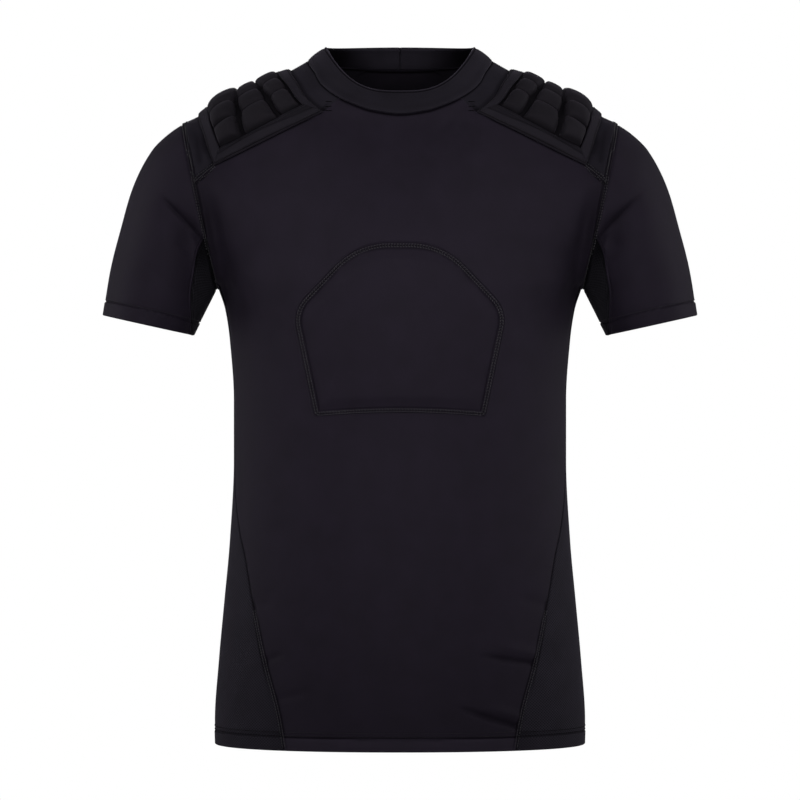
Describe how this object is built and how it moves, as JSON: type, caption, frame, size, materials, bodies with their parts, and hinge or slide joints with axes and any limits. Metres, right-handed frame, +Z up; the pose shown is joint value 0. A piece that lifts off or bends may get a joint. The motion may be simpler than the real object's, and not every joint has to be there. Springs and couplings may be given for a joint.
{
  "type": "padded short-sleeved protective vest",
  "caption": "Close-fitting short-sleeved pullover protective vest with padded shoulder blocks, a thin chest pad, mesh side panels and a crew neckband, filled out as worn.",
  "frame": {"origin": "midway between the shoulders, at the height where the middle of each yoke rests on its shoulder", "axes": "+Z up, the front faces -Y, the wearer's left side is at +X"},
  "size_m": [0.5936, 0.237, 0.6996],
  "materials": {
    "jersey": "black stretch jersey, slightly satin",
    "air_mesh": "black open mesh knit, matt",
    "pad_cover": "black stretch cover over foam blocks",
    "neckband": "black double jersey band"
  },
  "bodies": {
    "root": {"front_panel": "jersey", "back_panel": "jersey", "side_panel_left": "air_mesh", "side_panel_right": "air_mesh", "yoke_left": "jersey", "yoke_right": "jersey", "sleeve_left": "jersey", "sleeve_right": "jersey", "underarm_gusset_left": "air_mesh", "underarm_gusset_right": "air_mesh", "neckband": "neckband", "chest_pad": "jersey", "shoulder_pad_left": "pad_cover", "shoulder_pad_right": "pad_cover", "pad_strip_front_left": "jersey", "pad_strip_back_left": "jersey", "pad_strip_neck_left": "jersey", "pad_strip_arm_left": "jersey", "pad_strip_front_right": "jersey", "pad_strip_back_right": "jersey", "pad_strip_neck_right": "jersey", "pad_strip_arm_right": "jersey"}
  },
  "joints": []
}
